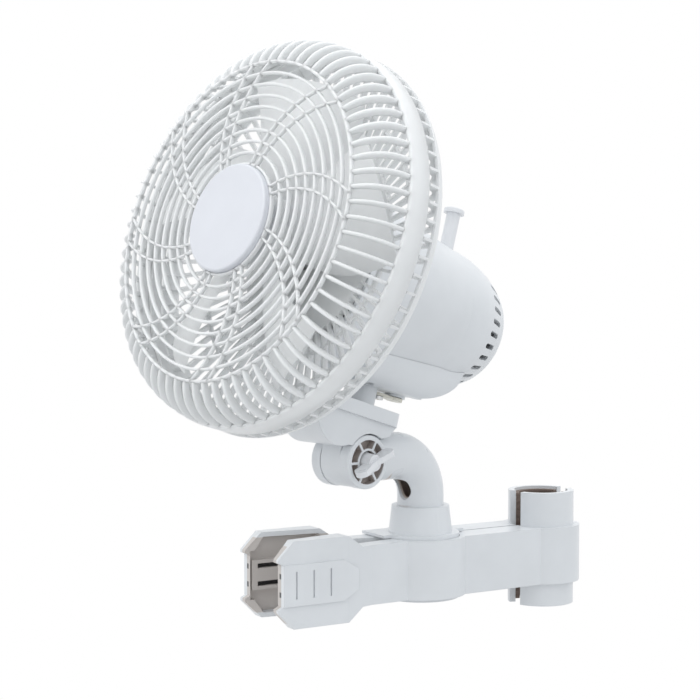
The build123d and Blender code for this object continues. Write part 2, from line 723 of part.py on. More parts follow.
# set screw from behind, its tip in the groove of the yaw post
with BuildPart() as yaw_screw:
    cylinder(head, 1.5, -cradle_rear + 1.0, -yaw_post_r - FREE_GAP, at=(0, screw_level))
    cylinder(head, 0.9, -yaw_post_r - FREE_GAP, -yaw_post_r + 0.7, at=(0, screw_level))
    with BuildSketch(head.offset(-cradle_rear + 1.0)):
        with Locations((0, screw_level)):
            RegularPolygon(0.9, 6)
    extrude(amount=1.5, mode=Mode.SUBTRACT)
finish(yaw_screw, "yaw_screw")

# ================================================================ cage
front_ring_front = cap_front - cap_proud
ring_pitch = (front_ring_r - cap_r - ring_wide) / (ring_count - 1)
ring_radii = [cap_r + ring_wide + ring_pitch * i for i in range(ring_count)]

# one slat of the front shoulder, drawn above the fan axis: its outer edge runs along the shoulder
# and the slat leans inwards to one side
lean_x = sin(radians(vane_louvre))
lean_y = cos(radians(vane_louvre))
meridian = Plane(origin=(0, 0, 0), x_dir=(0, 0, 1), z_dir=(-1, 0, 0))
with BuildPart() as front_vane:
    with BuildLine(meridian) as shoulder_line:
        ThreePointArc(
            (front_ring_front - 0.2, front_ring_r - 0.9),
            (front_ring_front - 6.3, front_ring_r + 10.6),
            (band_front - 1.8, cage_r - 0.9),
        )
    with BuildSketch(Plane(origin=shoulder_line.line @ 0, x_dir=(1, 0, 0), z_dir=shoulder_line.line % 0)):
        slat = [
            (0, 0),
            (vane_deep * lean_x, vane_deep * lean_y),
            (vane_deep * lean_x - vane_thick * lean_y, vane_deep * lean_y + vane_thick * lean_x),
            (-vane_thick * lean_y, vane_thick * lean_x),
        ]
        Polygon(*slat, align=None)
    sweep()

with BuildPart(head) as front_grille:
    with BuildSketch(head.offset(band_rear)):
        Circle(cage_r)
        Circle(cage_r - band_wall, mode=Mode.SUBTRACT)
    extrude(amount=band_front - band_rear)
    with BuildSketch(head.offset(front_ring_front - ring_deep)):
        for radius in reversed(ring_radii):
            Circle(radius)
            Circle(radius - ring_wide, mode=Mode.SUBTRACT)
    extrude(amount=ring_deep)
    with BuildSketch(head.offset(front_ring_front + spoke_proud - spoke_deep)):
        for i in range(spoke_pairs):
            for shift in (-spoke_split, spoke_split):
                start = spoke_first + 360.0 / spoke_pairs * i + shift
                with BuildLine():
                    rib = ThreePointArc(
                        around(cap_r + 0.3, start),
                        around((cap_r + front_ring_r) / 2, start - spoke_swirl * 0.42),
                        around(front_ring_r - 0.4, start - spoke_swirl),
                    )
                trace(rib, line_width=spoke_wide)
    extrude(amount=spoke_deep)
    with PolarLocations(0, vane_count):
        add(front_vane.part)
finish(front_grille, "front_grille")

with BuildPart() as front_cap:
    with BuildSketch(head.offset(front_ring_front - 1.2)):
        Circle(cap_r - SEAT_GAP)
    extrude(amount=cap_front - front_ring_front + 1.2)
    fillet(front_cap.edges().group_by(Axis(head.origin, head.z_dir))[-1], 1.0)
finish(front_cap, "front_cap")

# one rib of the rear cage: shoulder behind the band, then in to the hub plate
with BuildPart() as rear_rib:
    with BuildSketch(Plane(origin=(0, 0, 0), x_dir=(0, 0, 1), z_dir=(-1, 0, 0))):
        with BuildLine():
            shoulder = cage_back + 9.0
            Line((band_rear - FREE_GAP / 3, cage_r), (shoulder, cage_r))
            ThreePointArc(
                (shoulder, cage_r), (cage_back + 2.6, cage_r - 2.6), (cage_back, cage_r - 9.0)
            )
            Polyline(
                (cage_back, cage_r - 9.0),
                (hub_plate_front - hub_plate_thick + 0.4, hub_plate_r - 1.0),
                (hub_plate_front - 0.2, hub_plate_r - 1.0),
                (cage_back + 3.0, cage_r - 10.0),
            )
            ThreePointArc(
                (cage_back + 3.0, cage_r - 10.0), (cage_back + 5.4, cage_r - 5.4), (shoulder, cage_r - 3.4)
            )
            Polyline(
                (shoulder, cage_r - 3.4),
                (band_rear - FREE_GAP / 3, cage_r - 3.4),
                (band_rear - FREE_GAP / 3, cage_r),
            )
        make_face()
    extrude(amount=vane_thick / 2, both=True)

# radius, rear face and depth of the rear cage's hoops
rear_hoops = (
    (hub_plate_r + 25.0, cage_back - 2.0, 2.0),
    (hub_plate_r + 11.0, cage_back - 4.2, 2.0),
)
with BuildPart(head) as rear_grille:
    # rim tucked inside the front band
    with BuildSketch(head.offset(band_rear - 1.6)):
        Circle(cage_r - band_wall - SEAT_GAP)
        Circle(cage_r - band_wall - SEAT_GAP - 1.8, mode=Mode.SUBTRACT)
    extrude(amount=6.0)
    for hoop_r, hoop_rear, hoop_deep in rear_hoops:
        with BuildSketch(head.offset(hoop_rear)):
            Circle(hoop_r)
            Circle(hoop_r - 1.5, mode=Mode.SUBTRACT)
        extrude(amount=hoop_deep)
    # broad rim round the rear corner
    with BuildSketch(side):
        with BuildLine():
            ThreePointArc(
                (cage_back + 7.5, cage_r + 0.2),
                (cage_back + 3.2, cage_r - 1.7),
                (cage_back + 0.8, cage_r - 5.0),
            )
            Line((cage_back + 0.8, cage_r - 5.0), (cage_back + 2.4, cage_r - 6.0))
            ThreePointArc(
                (cage_back + 2.4, cage_r - 6.0),
                (cage_back + 4.4, cage_r - 3.4),
                (cage_back + 7.5, cage_r - 1.6),
            )
            Line((cage_back + 7.5, cage_r - 1.6), (cage_back + 7.5, cage_r + 0.2))
        make_face()
    revolve(axis=fan_axis)
    with BuildSketch(head.offset(hub_plate_front - hub_plate_thick)):
        Circle(hub_plate_r)
        Circle(bush_r + 3.0, mode=Mode.SUBTRACT)
        with PolarLocations(standoff_at, 4):
            Circle(grille_screw_r + PRESS_GAP, mode=Mode.SUBTRACT)
    extrude(amount=hub_plate_thick)
    with PolarLocations(0, vane_count):
        add(rear_rib.part)
finish(rear_grille, "rear_grille")

# ================================================================ fan blade and motor
blade_middle = (blade_hub_front + blade_hub_rear) / 2
# radius, chord, pitch from the fan's plane, turn about the axis, camber
blade_stations = (
    (blade_hub_r - 1.5, 27.0, 42.0, 0.0, 3.0),
    (blade_hub_r + 26.0, 45.0, 31.0, 6.0, 4.5),
    (blade_tip_r, 56.0, 23.0, 16.0, 5.0),
)
with BuildPart() as one_blade:
    for radius, chord, pitch, turn, camber in blade_stations:
        outward = Vector(cos(radians(turn)), sin(radians(turn)), 0)
        along = Vector(-sin(radians(turn)), cos(radians(turn)), 0)
        chord_way = along * cos(radians(pitch)) + Vector(0, 0, 1) * sin(radians(pitch))
        station = outward * radius + Vector(0, 0, blade_middle)
        with BuildSketch(Plane(origin=station, x_dir=chord_way, z_dir=outward)):
            with BuildLine():
                ThreePointArc((-chord / 2, 0), (0, camber), (chord / 2, 0))
                ThreePointArc((chord / 2, 0), (0, camber - 2.0), (-chord / 2, 0))
            make_face()
    loft()

with BuildPart(head) as fan_blade:
    with BuildSketch(head.offset(blade_hub_rear)):
        Circle(blade_hub_r)
    extrude(amount=blade_hub_front - blade_hub_rear)
    fillet(fan_blade.edges().group_by(Axis(head.origin, head.z_dir))[-1], 3.0)
    with PolarLocations(0, blade_count):
        add(one_blade.part)
    with BuildSketch(head.offset(blade_hub_rear)):
        Circle(blade_tip_r * 2)
        Circle(blade_tip_r, mode=Mode.SUBTRACT)
    extrude(amount=60, both=True, mode=Mode.SUBTRACT)
    with BuildSketch(head.offset(blade_hub_rear)):
        Circle(blade_hub_r - 2.0)
        Circle(shaft_r + 3.0, mode=Mode.SUBTRACT)
    extrude(amount=blade_hub_front - blade_hub_rear - 3.0, mode=Mode.SUBTRACT)
    with BuildSketch(head.offset(blade_hub_rear)):
        Circle(shaft_r + PRESS_GAP)
    extrude(amount=blade_hub_front - blade_hub_rear, mode=Mode.SUBTRACT)
finish(fan_blade, "fan_blade")

with BuildPart() as blade_nut:
    with BuildSketch(head.offset(blade_hub_front + SEAT_GAP)):
        Circle(9.0)
    extrude(amount=2.0)
    with BuildSketch(head.offset(blade_hub_front + SEAT_GAP)):
        RegularPolygon(6.5, 6)
    extrude(amount=9.0)
    with BuildSketch(head.offset(blade_hub_front + SEAT_GAP)):
        Circle(shaft_r + PRESS_GAP)
    extrude(amount=shaft_front - blade_hub_front, mode=Mode.SUBTRACT)
finish(blade_nut, "blade_nut")

stator_front = stator_rear + stator_long
front_bracket_rear = stator_front + bracket_stand
rear_bracket_rear = stator_rear - bracket_stand - bracket_thick
bracket_r = stator_r + 0.4
front_bush_start = front_bracket_rear - 2.0
rear_bush_start = rear_bracket_rear + 5.0 - bush_long
plate_rear = hub_plate_front - hub_plate_thick
worm_r = spindle_x - wheel_r - FREE_GAP
worm_front = -spindle_back + 8.0
shaft_rear = -spindle_back - 9.0
with BuildPart() as motor_shaft:
    cylinder(head, shaft_r, worm_front, shaft_front)
    cylinder(head, worm_r, shaft_rear, worm_front)
    for i in range(worm_turns):
        with BuildSketch(head.offset(shaft_rear + worm_pitch * (i + 0.5))):
            Circle(worm_r + 1.0)
            Circle(worm_r - 0.8, mode=Mode.SUBTRACT)
        extrude(amount=worm_pitch / 2, mode=Mode.SUBTRACT)
finish(motor_shaft, "motor_shaft")

with BuildPart() as rotor_core:
    with BuildSketch(head.offset(stator_rear)):
        Circle(rotor_r)
        Circle(shaft_r + PRESS_GAP, mode=Mode.SUBTRACT)
        with PolarLocations(rotor_r - 2.2, rotor_bars):
            Circle(0.9, mode=Mode.SUBTRACT)
    extrude(amount=stator_long)
finish(rotor_core, "rotor_core")

slot_out_r = stator_r - stator_yoke
with BuildPart() as stator_core:
    with BuildSketch(head.offset(stator_rear)):
        Circle(stator_r)
        Circle(slot_out_r, mode=Mode.SUBTRACT)
        with PolarLocations((rotor_r + slot_out_r) / 2, 8):
            Rectangle(slot_out_r - rotor_r + 1.0, 3.4)
        Circle(rotor_r + air_gap, mode=Mode.SUBTRACT)
        with PolarLocations(motor_screw_at, 4, start_angle=45):
            Circle(motor_screw_r + PRESS_GAP, mode=Mode.SUBTRACT)
    extrude(amount=stator_long)
finish(stator_core, "stator_core")

with BuildPart() as stator_coils:
    for start in (stator_rear - coil_long, stator_front + SEAT_GAP):
        with BuildSketch(head.offset(start)):
            Circle(slot_out_r)
            Circle(rotor_r + 1.5, mode=Mode.SUBTRACT)
        extrude(amount=coil_long - SEAT_GAP)
    coil_edges = stator_coils.edges().filter_by(GeomType.CIRCLE).group_by(fan_axis)
    fillet(coil_edges[0] + coil_edges[-1], 1.5)
finish(stator_coils, "stator_coils")


def end_bracket(plate_start, ear_start, bush_start):
    """Round end plate with bush boss, four ears reaching the stack, and vent windows."""
    with BuildPart() as bracket:
        cylinder(head, bracket_r, plate_start, plate_start + bracket_thick)
        cylinder(head, bush_r + 1.8, bush_start, bush_start + bush_long)
        with BuildSketch(head.offset(ear_start)):
            with PolarLocations(0, 4, start_angle=45):
                with Locations(((slot_out_r + 0.4 + bracket_r) / 2, 0)):
                    Rectangle(bracket_r - slot_out_r - 0.4, 8.0)
            Circle(bracket_r, mode=Mode.INTERSECT)
        extrude(amount=bracket_stand - SEAT_GAP)
        cylinder(head, bush_r + PRESS_GAP, bush_start, bush_start + bush_long, mode=Mode.SUBTRACT)
        with BuildSketch(head.offset(plate_start)):
            with PolarLocations(rotor_r - 1.0, 4):
                Circle(4.5)
        extrude(amount=bracket_thick, mode=Mode.SUBTRACT)
        with BuildSketch(head.offset(stator_rear - 2 * bracket_stand)):
            with PolarLocations(motor_screw_at, 4, start_angle=45):
                Circle(motor_screw_r + PRESS_GAP)
        extrude(amount=stator_long + 4 * bracket_stand, mode=Mode.SUBTRACT)
    return bracket.part


with BuildPart() as front_end_bracket:
    add(end_bracket(front_bracket_rear, stator_front + SEAT_GAP, front_bush_start))
    # standoffs to the middle plate of the rear grille
    with BuildSketch(head.offset(front_bracket_rear)):
        with PolarLocations(standoff_at, 4):
            Circle(standoff_r)
    extrude(amount=plate_rear - SEAT_GAP - front_bracket_rear)
    with BuildSketch(head.offset(front_bracket_rear)):
        with PolarLocations(standoff_at, 4):
            Circle(grille_screw_r + PRESS_GAP)
    extrude(amount=bracket_stand, mode=Mode.SUBTRACT)
finish(front_end_bracket, "front_end_bracket")

with BuildPart() as rear_end_bracket:
    add(end_bracket(rear_bracket_rear, rear_bracket_rear + bracket_thick, rear_bush_start))
    with BuildSketch(head.offset(rear_bracket_rear)):
        with Locations((tab_screw_x, tab_level), (-tab_screw_x, tab_level)):
            Circle(motor_screw_r + PRESS_GAP)
    extrude(amount=bracket_thick, mode=Mode.SUBTRACT)
finish(rear_end_bracket, "rear_end_bracket")

with BuildPart() as bearing_bushes:
    for start in (front_bush_start, rear_bush_start):
        with BuildSketch(head.offset(start)):
            Circle(bush_r)
            Circle(shaft_r + RUN_FIT, mode=Mode.SUBTRACT)
        extrude(amount=bush_long)
finish(bearing_bushes, "bearing_bushes")

with BuildPart() as motor_screws:
    with BuildSketch(head.offset(rear_bracket_rear)):
        with PolarLocations(motor_screw_at, 4, start_angle=45):
            Circle(motor_screw_r)
    extrude(amount=front_bracket_rear + bracket_thick + 1.5 - rear_bracket_rear)
    with BuildSketch(head.offset(rear_bracket_rear - SEAT_GAP)):
        with PolarLocations(motor_screw_at, 4, start_angle=45):
            Circle(motor_screw_r + 1.1)
    extrude(amount=-1.6)
    with BuildSketch(head.offset(rear_bracket_rear - SEAT_GAP)):
        with PolarLocations(motor_screw_at, 4, start_angle=45):
            Circle(motor_screw_r)
    extrude(amount=SEAT_GAP)
finish(motor_screws, "motor_screws")

with BuildPart() as grille_screws:
    with BuildSketch(head.offset(hub_plate_front + SEAT_GAP)):
        with PolarLocations(standoff_at, 4):
            Circle(grille_screw_r + 1.4)
    extrude(amount=1.6)
    with BuildSketch(head.offset(front_bracket_rear + 0.5)):
        with PolarLocations(standoff_at, 4):
            Circle(grille_screw_r)
    extrude(amount=hub_plate_front + SEAT_GAP - front_bracket_rear - 0.5)
finish(grille_screws, "grille_screws")

# ================================================================ motor housing
bell_start = plate_rear - SEAT_GAP
droop = radians(bell_droop)
bell_way = head.z_dir * cos(droop) + head.y_dir * sin(droop)
bell_origin = head.origin + head.z_dir * bell_start - head.y_dir * bell_drop
bell = Plane(origin=bell_origin, x_dir=head.x_dir, z_dir=bell_way)
bell_side = Plane(origin=bell_origin, x_dir=bell_way, z_dir=head.x_dir * -1)
bell_axis = Axis(bell_origin, bell_way)


def dome_point(share, inset):
    """Point of the rounded end, its length shared out from 0 at its start to 1 at the flat end."""
    swell = (bell_rear_r - bell_flat_r) * sqrt(1 - share**2)
    return (-bell_long + bell_dome * (1 - share) + inset * share, bell_flat_r + swell - inset)


def bell_form(inset):
    """Solid of revolution of the housing's outside, moved inwards by a wall."""
    with BuildPart() as form:
        with BuildSketch(bell_side):
            with BuildLine():
                Polyline((4.0, 0), (4.0, bell_front_r - inset), dome_point(0, inset))
                ThreePointArc(dome_point(0, inset), dome_point(0.45, inset), dome_point(0.8, inset))
                ThreePointArc(dome_point(0.8, inset), dome_point(0.94, inset), dome_point(1, inset))
                Polyline(dome_point(1, inset), (-bell_long + inset, 0), (4.0, 0))
            make_face()
        revolve(axis=bell_axis)
    return form.part


housing_screws_at = [(-housing_screw_x, -housing_screw_z), (housing_screw_x, -housing_screw_z)]
housing_screw_top = -bell_front_r + 8.0
with BuildPart() as inner_bosses:
    # guide of the clutch knob, and bosses for the gear housing's screws
    cylinder(spindle_plane, knob_stem_r + FREE_GAP + 1.6, knob_low + 2.0, bell_rear_r)
    for post_at in housing_screws_at:
        cylinder(plan, housing_post_r, -bell_front_r - bell_drop, housing_screw_top + 1.0, at=post_at)
    add(bell_form(bell_wall / 2), mode=Mode.INTERSECT)
with BuildPart() as motor_housing:
    add(bell_form(0))
    # front edge cut flat against the cage
    with BuildSketch(head.offset(bell_start)):
        Circle(2 * bell_front_r)
    extrude(amount=30, mode=Mode.SUBTRACT)
    add(bell_form(bell_wall), mode=Mode.SUBTRACT)
    add(inner_bosses.part)
    cylinder(spindle_plane, knob_stem_r + FREE_GAP, knob_low, knob_top, mode=Mode.SUBTRACT)
    # ring of vent slots round the rear shoulder
    for i in range(vent_count):
        turn = 360.0 / vent_count * (i + 0.5)
        vent_out = bell.x_dir * cos(radians(turn)) + bell.y_dir * sin(radians(turn))
        vent_plane = Plane(origin=bell_origin, x_dir=bell_way * -1, z_dir=vent_out)
        with BuildSketch(vent_plane.offset(bell_rear_r / 2)):
            with Locations((bell_long - vent_at, 0)):
                SlotOverall(vent_long, vent_wide)
        extrude(amount=bell_rear_r, mode=Mode.SUBTRACT)
    # opening down into the gear housing
    with BuildSketch(plan.offset(-bell_rear_r / 2)):
        with Locations((0, gear_well_middle)):
            RectangleRounded(2 * gear_well_half, gear_well_long, 3.0)
    extrude(amount=-bell_rear_r, mode=Mode.SUBTRACT)
    for screw_at in housing_screws_at:
        cylinder(
            plan, motor_screw_r + PRESS_GAP, -bell_front_r - bell_drop, housing_screw_top + 2.0,
            at=screw_at, mode=Mode.SUBTRACT,
        )
finish(motor_housing, "motor_housing")


def gear_box_form(inset, top):
    """Hanging gear housing: rounded in front view and in side view."""
    half = gear_box_half - inset
    front = gear_box_front - inset
    rear = -gear_box_rear + inset
    bottom = -gear_box_bottom + inset
    slope = 0.3 * gear_box_round
    with BuildPart() as form:
        with BuildSketch(head.offset(-gear_box_rear - 10.0)):
            with BuildLine():
                Polyline((-half, top), (-half, bottom + gear_box_round))
                ThreePointArc(
                    (-half, bottom + gear_box_round),
                    (-half + slope, bottom + slope),
                    (-half + gear_box_round, bottom),
                )
                Line((-half + gear_box_round, bottom), (half - gear_box_round, bottom))
                ThreePointArc(
                    (half - gear_box_round, bottom),
                    (half - slope, bottom + slope),
                    (half, bottom + gear_box_round),
                )
                Polyline((half, bottom + gear_box_round), (half, top), (-half, top))
            make_face()
        extrude(amount=gear_box_rear + gear_box_front + 20.0)
        with BuildSketch(side.offset(-2 * gear_box_half)):
            with BuildLine():
                Polyline((front, top + 1.0), (front, bottom + 8.0), (front - 10.0, bottom))
                Line((front - 10.0, bottom), (rear + 24.0, bottom + 1.0))
                ThreePointArc(
                    (rear + 24.0, bottom + 1.0), (rear + 7.0, bottom + 6.0), (rear, bottom + 20.0)
                )
                Polyline((rear, bottom + 20.0), (rear, top + 1.0), (front, top + 1.0))
            make_face()
        extrude(amount=4 * gear_box_half, mode=Mode.INTERSECT)
    return form.part


box_floor = -gear_box_bottom + gear_box_wall
gear_floor = box_floor + bearing_high
screw_heads = -gear_box_bottom + screw_sunk
crank_at = (0, crank_back)
gear_addendum = 0.8 * gear_module
pinion_room_r = gear_module * pinion_teeth / 2 + gear_addendum + FREE_GAP
with BuildPart() as housing_posts:
    for post_at in housing_screws_at:
        cylinder(plan, housing_post_r, -gear_box_bottom - 1.0, -20.0, at=post_at)
    add(gear_box_form(gear_box_wall / 2, -18.0), mode=Mode.INTERSECT)
with BuildPart() as gear_housing:
    add(gear_box_form(0, -18.0))
    add(gear_box_form(gear_box_wall, -10.0), mode=Mode.SUBTRACT)
    # posts of the two screws up into the motor housing
    add(housing_posts.part)
    add(bell_form(-SEAT_GAP), mode=Mode.SUBTRACT)
    # tab screwed flat against the motor's rear bracket
    with BuildSketch(head.offset(rear_bracket_rear - SEAT_GAP)):
        with Locations((0, (box_floor + tab_level) / 2 + 1.25)):
            Rectangle(2 * tab_screw_x + 7.0, tab_level - box_floor + 4.5)
        with Locations((tab_screw_x, tab_level), (-tab_screw_x, tab_level)):
            Circle(motor_screw_r + PRESS_GAP, mode=Mode.SUBTRACT)
    extrude(amount=-bracket_thick)
    # yaw post down into the neck, with a step to stand on and a groove for the set screw
    cylinder(plan, yaw_post_r + 3.0, box_floor - 0.5, box_floor + 4.0)
    cylinder(plan, yaw_post_r, plate_floor - yaw_post_below, box_floor)
    cylinder(plan, yaw_post_r + yaw_shoulder, -cradle_top + FREE_GAP, box_floor)
    with BuildSketch(plan.offset(screw_level - 1.2)):
        Circle(yaw_post_r + 1.0)
        Circle(yaw_post_r - 1.0, mode=Mode.SUBTRACT)
    extrude(amount=2.4, mode=Mode.SUBTRACT)
    # bearings of the crank and of the spindle's foot
    cylinder(plan, crank_journal_r + 2.5, -gear_box_bottom, gear_floor - FREE_GAP, at=crank_at)
    cylinder(
        plan, crank_journal_r + RUN_FIT, -gear_box_bottom - 2.0, gear_floor,
        at=crank_at, mode=Mode.SUBTRACT,
    )
    cylinder(spindle_plane, spindle_r + 1.5, box_floor - 0.5, gear_floor - FREE_GAP)
    cylinder(spindle_plane, spindle_r + RUN_FIT, box_floor, gear_floor, mode=Mode.SUBTRACT)
    # room for the pinion in the rear corner
    cylinder(
        spindle_plane, pinion_room_r, gear_floor - FREE_GAP, gear_floor + gear_wide,
        mode=Mode.SUBTRACT,
    )
    for screw_at in housing_screws_at:
        cylinder(
            plan, motor_screw_r + PRESS_GAP, -gear_box_bottom - 1.0, -20.0,
            at=screw_at, mode=Mode.SUBTRACT,
        )
        cylinder(
            plan, motor_screw_r + 1.2, -gear_box_bottom - 1.0, screw_heads,
            at=screw_at, mode=Mode.SUBTRACT,
        )
finish(gear_housing, "gear_housing")

with BuildPart() as housing_screws:
    for screw_at in housing_screws_at:
        cylinder(plan, motor_screw_r + 1.1, screw_heads - 1.6, screw_heads - SEAT_GAP, at=screw_at)
        cylinder(plan, motor_screw_r, screw_heads - 1.0, housing_screw_top, at=screw_at)
finish(housing_screws, "housing_screws")

# two screws through the tab into the motor's rear bracket
tab_rear = rear_bracket_rear - SEAT_GAP - bracket_thick
with BuildPart() as gearbox_screws:
    for screw_side in (-1, 1):
        screw_at = (screw_side * tab_screw_x, tab_level)
        cylinder(head, motor_screw_r + 1.1, tab_rear - 1.6, tab_rear - SEAT_GAP, at=screw_at)
        cylinder(head, motor_screw_r, tab_rear - 1.0, rear_bracket_rear + bracket_thick - 0.5, at=screw_at)
finish(gearbox_screws, "gearbox_screws")

# ================================================================ oscillating gear
with BuildPart() as worm_wheel:
    with BuildSketch(spindle_plane.offset(-wheel_thick / 2)):
        Circle(wheel_r)
        Circle(spindle_r + RUN_FIT, mode=Mode.SUBTRACT)
        with PolarLocations(wheel_r, wheel_teeth, start_angle=180.0 / wheel_teeth):
            Rectangle(1.4, 0.7, mode=Mode.SUBTRACT)
    extrude(amount=wheel_thick)
finish(worm_wheel, "worm_wheel")


def spur_gear(teeth, at, first_angle):
    """Spur gear with narrow tapered teeth, centred on a point of the head's plan."""
    pitch_r = gear_module * teeth / 2
    root = pitch_r - 1.15 * gear_module
    tip = pitch_r + gear_addendum
    half_root = 0.42 * gear_module * pi / 2
    half_tip = 0.16 * gear_module * pi / 2
    with BuildSketch(plan.offset(gear_floor)) as wheel:
        with Locations(at):
            Circle(root)
            with PolarLocations(0, teeth, start_angle=first_angle):
                tooth = [
                    (root - 0.3, -half_root), (tip, -half_tip), (tip, half_tip), (root - 0.3, half_root)
                ]
                Polygon(*tooth, align=None)
    extrude(wheel.sketch, amount=gear_wide)


mesh_angle = degrees(atan2(spindle_back - crank_back, spindle_x))
with BuildPart() as clutch_spindle:
    cylinder(spindle_plane, spindle_r, box_floor + SEAT_GAP, spindle_top)
    spur_gear(pinion_teeth, (spindle_x, spindle_back), mesh_angle + 180)
    # flange that carries the worm wheel
    cylinder(spindle_plane, wheel_r - 0.6, -wheel_thick / 2 - 0.1 - 1.2, -wheel_thick / 2 - 0.1)
finish(clutch_spindle, "clutch_spindle")

with BuildPart() as clutch_knob:
    cylinder(spindle_plane, knob_stem_r, knob_low, knob_top)
    cylinder(spindle_plane, knob_head_r, knob_top - knob_head_thick, knob_top)
    fillet(clutch_knob.edges().group_by(Axis(spindle, head.y_dir))[-1], 0.9)
    bore_top = spindle_top + knob_travel + 0.5
    cylinder(spindle_plane, spindle_r + RUN_FIT, knob_low, bore_top, mode=Mode.SUBTRACT)
finish(clutch_knob, "clutch_knob")

crank_pin_at = (0, pin_back)
arm_floor = -gear_box_bottom - FREE_GAP - crank_arm_thick
link_floor = arm_floor - FREE_GAP - crank_arm_thick
with BuildPart() as crank_gear:
    spur_gear(crank_teeth, crank_at, mesh_angle + 180 / crank_teeth)
    cylinder(plan, crank_journal_r, arm_floor, gear_floor + 1.0, at=crank_at)
    with BuildSketch(plan.offset(arm_floor)):
        with Locations(crank_at):
            Circle(crank_journal_r + 1.5)
        with Locations((0, crank_back - crank_throw / 2)):
            Rectangle(2 * crank_journal_r, crank_throw)
        with Locations(crank_pin_at):
            Circle(crank_journal_r)
    extrude(amount=crank_arm_thick)
    cylinder(plan, crank_pin_r, link_floor, arm_floor, at=crank_pin_at)
finish(crank_gear, "crank_gear")

link_end_r = crank_pin_r + 2.4
with BuildPart() as crank_link:
    with BuildSketch(plan.offset(link_floor)):
        with Locations(crank_pin_at):
            Circle(crank_pin_r + 1.2)
        with Locations((-link_long / 2, pin_back)):
            Rectangle(link_long, 3.4)
        with Locations((-link_long, pin_back - link_slot / 2)):
            SlotOverall(link_slot + 2 * link_end_r - 1.6, 2 * link_end_r - 1.6, rotation=90)
        with Locations(crank_pin_at):
            Circle(crank_pin_r + RUN_FIT, mode=Mode.SUBTRACT)
        # long hole on the neck's pin
        with Locations((-link_long, pin_back - link_slot / 2)):
            SlotOverall(
                link_slot + 2 * crank_pin_r + 1.2, 2 * crank_pin_r + 1.4,
                rotation=90, mode=Mode.SUBTRACT,
            )
    extrude(amount=crank_arm_thick)
finish(crank_link, "crank_link")

link_pin_at = (-link_long, pin_back)
link_pin_head = link_floor + crank_arm_thick + 0.2
with BuildPart() as link_pin:
    cylinder(plan, crank_pin_r, -cradle_top - 3.8, link_pin_head, at=link_pin_at)
    cylinder(plan, crank_pin_r + 1.1, link_pin_head, link_floor + crank_arm_thick + 0.9, at=link_pin_at)
finish(link_pin, "link_pin")
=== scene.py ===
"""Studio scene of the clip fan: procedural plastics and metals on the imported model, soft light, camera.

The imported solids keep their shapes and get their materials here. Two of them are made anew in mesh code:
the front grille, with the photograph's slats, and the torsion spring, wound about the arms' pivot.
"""
import json
from cmath import phase, rect
from math import copysign, cos, pi, radians, sin

import bmesh
import bpy
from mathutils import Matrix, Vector


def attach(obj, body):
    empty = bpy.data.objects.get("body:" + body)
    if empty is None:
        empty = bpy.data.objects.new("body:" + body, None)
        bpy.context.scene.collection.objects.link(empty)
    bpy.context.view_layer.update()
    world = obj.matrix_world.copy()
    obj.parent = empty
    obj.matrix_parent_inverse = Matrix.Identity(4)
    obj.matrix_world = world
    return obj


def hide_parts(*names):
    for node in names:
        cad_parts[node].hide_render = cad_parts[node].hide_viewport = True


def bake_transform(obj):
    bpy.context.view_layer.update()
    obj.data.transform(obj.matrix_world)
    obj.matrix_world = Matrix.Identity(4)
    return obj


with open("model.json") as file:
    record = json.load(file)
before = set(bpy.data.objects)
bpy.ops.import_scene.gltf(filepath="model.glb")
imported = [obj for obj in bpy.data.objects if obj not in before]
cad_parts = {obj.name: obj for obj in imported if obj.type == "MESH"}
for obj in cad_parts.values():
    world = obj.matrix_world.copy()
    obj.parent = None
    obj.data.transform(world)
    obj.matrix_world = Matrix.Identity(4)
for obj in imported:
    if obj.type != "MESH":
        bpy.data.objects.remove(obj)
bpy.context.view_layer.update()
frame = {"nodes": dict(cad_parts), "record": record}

scene = bpy.context.scene

# -------------------------------------------- frames of the model, in metres
PAN, TILT = radians(12.0), radians(17.0)
HUB_TO_POLE = 0.0728      # arms' pivot axis to the pole's axis
HINGE_REACH = 0.047       # pivot axis to the wing nut's axis
HINGE_HIGH = 0.054
BEND_R = 0.020            # centre line of the elbow's bend
NECK_HIGH = 0.085         # wing nut's axis to the fan axis

ORIGIN, UP = Vector((0.0, 0.0, 0.0)), Vector((0.0, 0.0, 1.0))
ACROSS = Vector((cos(PAN), sin(PAN), 0.0))
BACK = Vector((-sin(PAN), cos(PAN), 0.0))
HUB = Vector((0.0, -HUB_TO_POLE, 0.0))
HINGE = HUB - BACK * HINGE_REACH + UP * HINGE_HIGH
BEND = HUB - BACK * BEND_R + UP * (HINGE_HIGH - BEND_R)
HEAD_UP = BACK * sin(TILT) + UP * cos(TILT)
FORWARD = UP * sin(TILT) - BACK * cos(TILT)
HEAD = HINGE + HEAD_UP * NECK_HIGH
MM = 0.001


